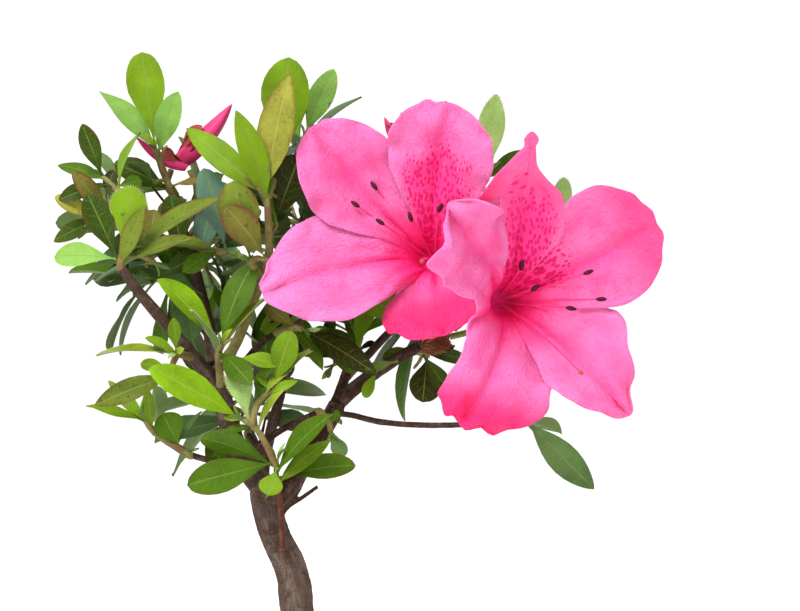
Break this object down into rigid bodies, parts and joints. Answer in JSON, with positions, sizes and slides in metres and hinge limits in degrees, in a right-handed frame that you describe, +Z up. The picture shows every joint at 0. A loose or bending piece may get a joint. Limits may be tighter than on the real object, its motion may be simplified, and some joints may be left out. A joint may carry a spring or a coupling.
{
  "type": "azalea shrub",
  "caption": "Small azalea shrub with a slender leaning trunk, forked boughs, tufts of narrow leaves and large open five-petalled blooms.",
  "frame": {"origin": "middle of the flat cut under the trunk, at ground level", "axes": "+Z up from the ground, -Y towards the side that the blooms face, +X towards the blooms"},
  "size_m": [0.153, 0.1164, 0.18],
  "materials": {
    "bark": "rough",
    "leaf": "satin",
    "petal": "matt",
    "bud_scale": "matt"
  },
  "bodies": {
    "root": {"bloom_left": "petal", "bloom_right": "petal", "bough_bloom": "bark", "bough_cross": "bark", "bough_far_left": "bark", "bough_front": "bark", "bough_inner": "bark", "bough_low_left": "bark", "bough_low_right": "bark", "bough_middle": "bark", "bough_rear": "bark", "bough_rear_left": "bark", "bough_rear_low": "bark", "bough_rear_right": "bark", "bough_top": "bark", "bough_upper_left": "bark", "bud_hidden_left": "petal", "bud_scales": "bud_scale", "bud_upper_left": "petal", "leader_left": "bark", "leader_right": "bark", "leaves_behind_blooms": "leaf", "leaves_blue": "leaf", "leaves_bud": "leaf", "leaves_centre": "leaf", "leaves_far_left": "leaf", "leaves_front": "leaf", "leaves_heart": "leaf", "leaves_inner": "leaf", "leaves_left": "leaf", "leaves_low_left": "leaf", "leaves_low_right": "leaf", "leaves_middle": "leaf", "leaves_rear_left": "leaf", "leaves_rear_low": "leaf", "leaves_rear_middle": "leaf", "leaves_rear_right": "leaf", "leaves_small": "leaf", "leaves_top": "leaf", "leaves_upper_left": "leaf", "trunk": "bark", "twig_bare": "bark", "twig_bud_hidden": "bark", "twig_bud_upper": "bark"}
  },
  "joints": []
}
